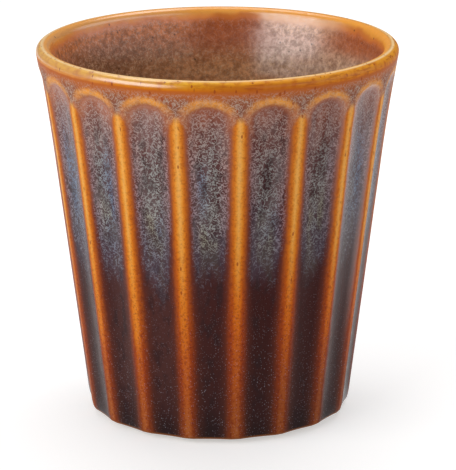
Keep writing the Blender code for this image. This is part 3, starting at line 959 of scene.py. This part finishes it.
def make_outer_finish():
    """Reactive glaze: amber where it runs thin on ridges and lip, dark and crystalline in the pools."""
    material, wire, shader = new_finish("amber_brown_glaze")
    coat = OuterGlaze(wire)
    wall = flute_pools(wire, coat)
    wall = ridge_colours(wire, coat, wall)
    wall = arch_colours(wire, coat, wall)
    wall = lip_colours(wire, coat, wall)
    inside = wire.ease(wire.off_axis(coat.x, coat.y), *INNER_SIDE_RADII)
    inside = wire.times(inside, wire.ease(coat.z, *INNER_SIDE_HEIGHTS))
    hollow = place_effect(wire, HOLLOW, Place=coat.place)

    inside_gloss = wire.times(inside, hollow["Gloss"], 0.7)
    uneven = wire.ease(wire.noise(coat.place, 1.8, detail=3.0), 0.3, 0.7, 0.16, 0.26)
    wire.feed_all(shader, {
        "Base Color": wire.mix(inside, wall, hollow["Colour"]),
        "Roughness": wire.plus(uneven, wire.ease(coat.edge, 1.4, -0.2, 0.0, 0.35)),
        "Coat Weight": wire.most(outer_gloss(wire, coat), inside_gloss),
        **OUTER_SHINE,
    })
    peel = wire.times(wire.noise(coat.place, 2.6, detail=1.0), 0.1)
    height = wire.plus(peel, wire.times(coat.crystals, 0.008), wire.times(hollow["Height"], inside))
    raise_surface(wire, shader, height, GLAZE_WAVES)
    return material


def make_lining_finish():
    """The glaze of the hollow, from its floor up to where the outer glaze starts."""
    material, wire, shader = new_finish("speckled_tan_glaze")
    place, _ = place_in_millimetres(wire)
    hollow = place_effect(wire, HOLLOW, Place=place)
    wire.feed_all(shader, {
        "Base Color": hollow["Colour"],
        "Roughness": wire.ease(hollow["Grain"], 0.0, 1.0, 0.4, 0.55),
        "Coat Weight": hollow["Gloss"],
        **LINING_SHINE,
    })
    raise_surface(wire, shader, hollow["Height"], GLAZE_WAVES)
    return material


def make_clay_finish():
    """Bare fired clay: warm buff with iron specks, matt and a little gritty."""
    material, wire, shader = new_finish("bare_stoneware")
    place, _ = place_in_millimetres(wire)
    clouds = wire.ease(wire.noise(place, 6.0, detail=4.0, roughness=0.6), 0.3, 0.7)
    clay = wire.mix(clouds, colour(176, 146, 112), colour(204, 178, 146))
    iron = use(wire, SPECKS, Place=place, Spacing=1.4, Radius=0.22, Share=0.4)
    clay = wire.mix(wire.times(iron, 0.7), clay, colour(112, 78, 54))
    grit = wire.noise(place, 0.35, detail=3.0, roughness=0.7)
    roughness = wire.ease(grit, 0.3, 0.7, 0.78, 0.95)
    wire.feed_all(shader, {"Base Color": clay, "Roughness": roughness, **CLAY_SHINE})
    raise_surface(wire, shader, grit, CLAY_GRIT)
    return material


def make_underside_finish():
    """Dark brown glaze under the cup, which thins to amber where it climbs the foot ring."""
    material, wire, shader = new_finish("dark_brown_glaze")
    place, (x, y, _) = place_in_millimetres(wire)
    reach = wire.plus(wire.off_axis(x, y), use(wire, WANDER, Place=place, Size=4.0, Amount=0.5))
    clouds = wire.ease(wire.noise(place, 7.0, detail=4.0), 0.3, 0.7)
    glaze = wire.mix(clouds, colour(44, 26, 24), colour(84, 46, 32))
    threads = use(wire, THREADS, Place=place, Spacing=1.3, Width=0.16, Crowding=0.4)
    glaze = wire.mix(wire.times(threads, 0.35), glaze, colour(128, 118, 132))
    glaze = wire.mix(wire.ease(reach, 21.0, 22.8), glaze, colour(168, 92, 36))
    wire.feed_all(shader, {"Base Color": glaze, "Roughness": wire.ease(clouds, 0.0, 1.0, 0.16, 0.26)})
    raise_surface(wire, shader, wire.noise(place, 2.6, detail=1.0), UNDERSIDE_WAVES)
    return material


# Pieces


def make_piece(name, section, columns, finish, flutes=None):
    """A turned piece with its finish, and with flutes where their tree is given."""
    piece = draw_section(name, section)
    piece.data.materials.append(finish)
    turn(piece, columns)
    if flutes:
        press_flutes(piece, flutes, finish)
    settle(piece)
    return piece


def build():
    """Makes the four pieces and hands each in."""
    flutes = make_flute_tree()
    columns = FLUTE_COUNT * COLUMNS_PER_FLUTE
    coat = make_piece("fluted_outer_glaze", outer_glaze_section(), columns, make_outer_finish(), flutes)
    hand_in(coat, "outer_glaze")

    columns = FLUTE_COUNT * CLAY_COLUMNS_PER_FLUTE
    body = make_piece("turned_stoneware_body", body_section(), columns, make_clay_finish(), flutes)
    hand_in(body, "stoneware_body")

    lining = make_piece("hollow_lining_glaze", inner_glaze_section(), LINING_COLUMNS, make_lining_finish())
    hand_in(lining, "inner_glaze")

    section = underside_glaze_section()
    pool = make_piece("underside_glaze_pool", section, UNDERSIDE_COLUMNS, make_underside_finish())
    hand_in(pool, "underside_glaze")


# Studio


def make_floor():
    """A wide matt floor that shows white and keeps the cup's shadow."""
    bpy.ops.mesh.primitive_plane_add(size=FLOOR_SIZE)
    floor = bpy.context.object
    floor.name = "studio_floor"
    material, wire, shader = new_finish("white_floor")
    light_path = wire.add("ShaderNodeLightPath").outputs
    rays = ("Is Camera Ray", "Is Glossy Ray", "Is Transmission Ray")
    seen = wire.most(*(light_path[ray] for ray in rays))
    wire.feed_all(shader, {
        "Base Color": PALE_GREY, "Roughness": 1.0, "Specular IOR Level": 0.0,
        "Emission Color": WHITE, "Emission Strength": wire.times(seen, FLOOR_GLOW),
    })
    floor.data.materials.append(material)


def make_world():
    """An even light from all round."""
    world = bpy.data.worlds.new("grey_studio")
    world.use_nodes = True
    bpy.context.scene.world = world
    sky = world.node_tree.nodes["Background"]
    Wiring(world.node_tree).feed_all(sky, {"Color": WHITE, "Strength": SKY_STRENGTH})


def add_softbox(name, place, target, width, height, brightness):
    """A soft rectangular lamp that shines from a place at a target."""
    light = bpy.data.lights.new(name, "AREA")
    light.shape = "RECTANGLE"
    light.size = width
    light.size_y = height
    light.energy = brightness * math.pi * width * height
    lamp = bpy.data.objects.new(name, light)
    lamp.location = place
    lamp.rotation_euler = (Vector(target) - Vector(place)).to_track_quat("-Z", "Y").to_euler()
    lamp.visible_camera = False
    bpy.context.scene.collection.objects.link(lamp)


def make_camera():
    """The camera, as fitted to the photograph."""
    camera = bpy.data.objects.new("camera", bpy.data.cameras.new("camera"))
    camera.data.sensor_width = SENSOR_WIDTH
    camera.data.lens = FOCAL_PIXELS * SENSOR_WIDTH / IMAGE_HEIGHT_PIXELS
    camera.data.clip_start = NEAREST_SEEN
    turned = Matrix.Rotation(CAMERA_TURN - CAMERA_YAW, 4, "Z")
    pitched = Matrix.Rotation(math.pi / 2 - CAMERA_PITCH, 4, "X")
    rolled = Matrix.Rotation(-CAMERA_ROLL, 4, "Z")
    to_right = CAMERA_DISTANCE * math.sin(CAMERA_TURN)
    to_front = CAMERA_DISTANCE * math.cos(CAMERA_TURN)
    place = Matrix.Translation((to_right, -to_front, CAMERA_HEIGHT))
    camera.matrix_world = place @ turned @ pitched @ rolled
    bpy.context.scene.collection.objects.link(camera)
    bpy.context.scene.camera = camera


build()
make_floor()
make_world()
for softbox in SOFTBOXES:
    add_softbox(*softbox)
make_camera()
bpy.context.scene.view_settings.view_transform = "Standard"
